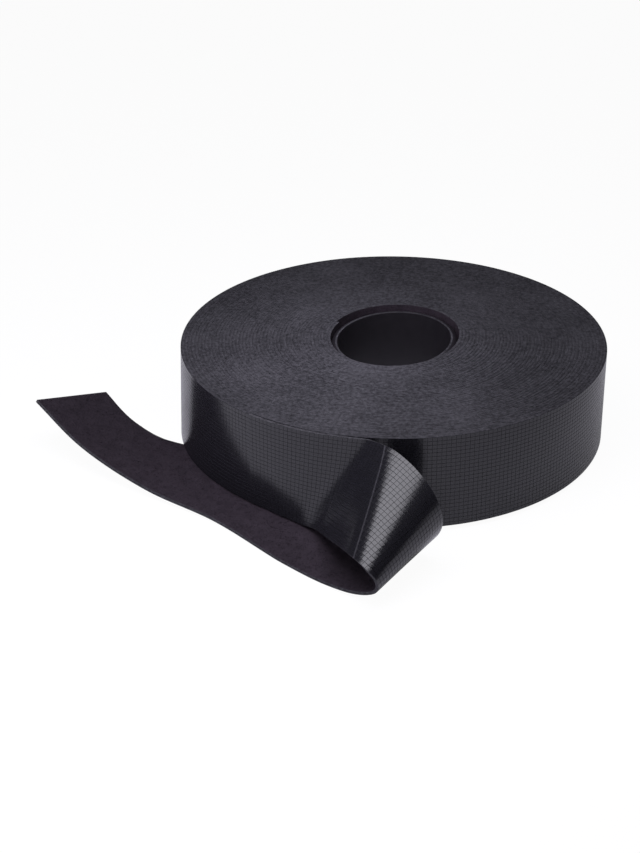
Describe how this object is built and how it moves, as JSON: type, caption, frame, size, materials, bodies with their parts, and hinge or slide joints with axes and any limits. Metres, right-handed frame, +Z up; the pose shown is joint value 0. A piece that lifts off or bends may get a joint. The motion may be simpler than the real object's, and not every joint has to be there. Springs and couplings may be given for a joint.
{
  "type": "hook and loop tape roll",
  "caption": "Flat roll of black two-faced hook and loop tape on a core tube, hooks outwards, its free end peeled off, folded back and tucked under the roll",
  "frame": {"origin": "middle of the footprint, on the floor that the tape lies on", "axes": "+Z up along the roll's axis, +Y to the back, +X to the right as the picture shows it"},
  "size_m": [0.15, 0.1466, 0.027],
  "materials": {
    "hook_face": "black moulded hooks, faintly shiny",
    "loop_face": "black knitted loop pile, matt",
    "wound_edge": "cut edges of the wound tape, dark grey in fine rings",
    "core_plastic": "black moulded plastic",
    "adhesive": "clear yellowish adhesive film"
  },
  "bodies": {
    "roll": {"core_tube": "core_plastic", "core_adhesive_strip": "adhesive", "inner_turns": "wound_edge", "outer_turns_hook_layer": "hook_face", "outer_turns_loop_layer": "loop_face"},
    "free_end": {"peeled_leaf_hook_layer": "hook_face", "peeled_leaf_loop_layer": "loop_face", "floor_run_hook_layer": "hook_face", "floor_run_loop_layer": "loop_face"},
    "tail_end": {"lifted_end_hook_layer": "hook_face", "lifted_end_loop_layer": "loop_face"},
    "tape_tip": {"end_tip_hook_layer": "hook_face", "end_tip_loop_layer": "loop_face"}
  },
  "joints": [
    {"name": "unwind", "type": "hinge", "parent": "roll", "child": "free_end", "pos_m": [0.01915, 0.01719, 0.0137], "axis": [0, 0, -1], "continuous": true},
    {"name": "tail_lift", "type": "hinge", "parent": "free_end", "child": "tail_end", "pos_m": [-0.03342, -0.01453, 0.00115], "axis": [-0.3849, 0.9229, -0.0108], "range_deg": [0, 60], "stiffness_Nm_per_rad": 0.02},
    {"name": "tip_curl", "type": "hinge", "parent": "tail_end", "child": "tape_tip", "pos_m": [-0.05724, 0.00307, 0.00522], "axis": [0.314, 0.9353, -0.1633], "range_deg": [-10, 45], "stiffness_Nm_per_rad": 0.02}
  ]
}
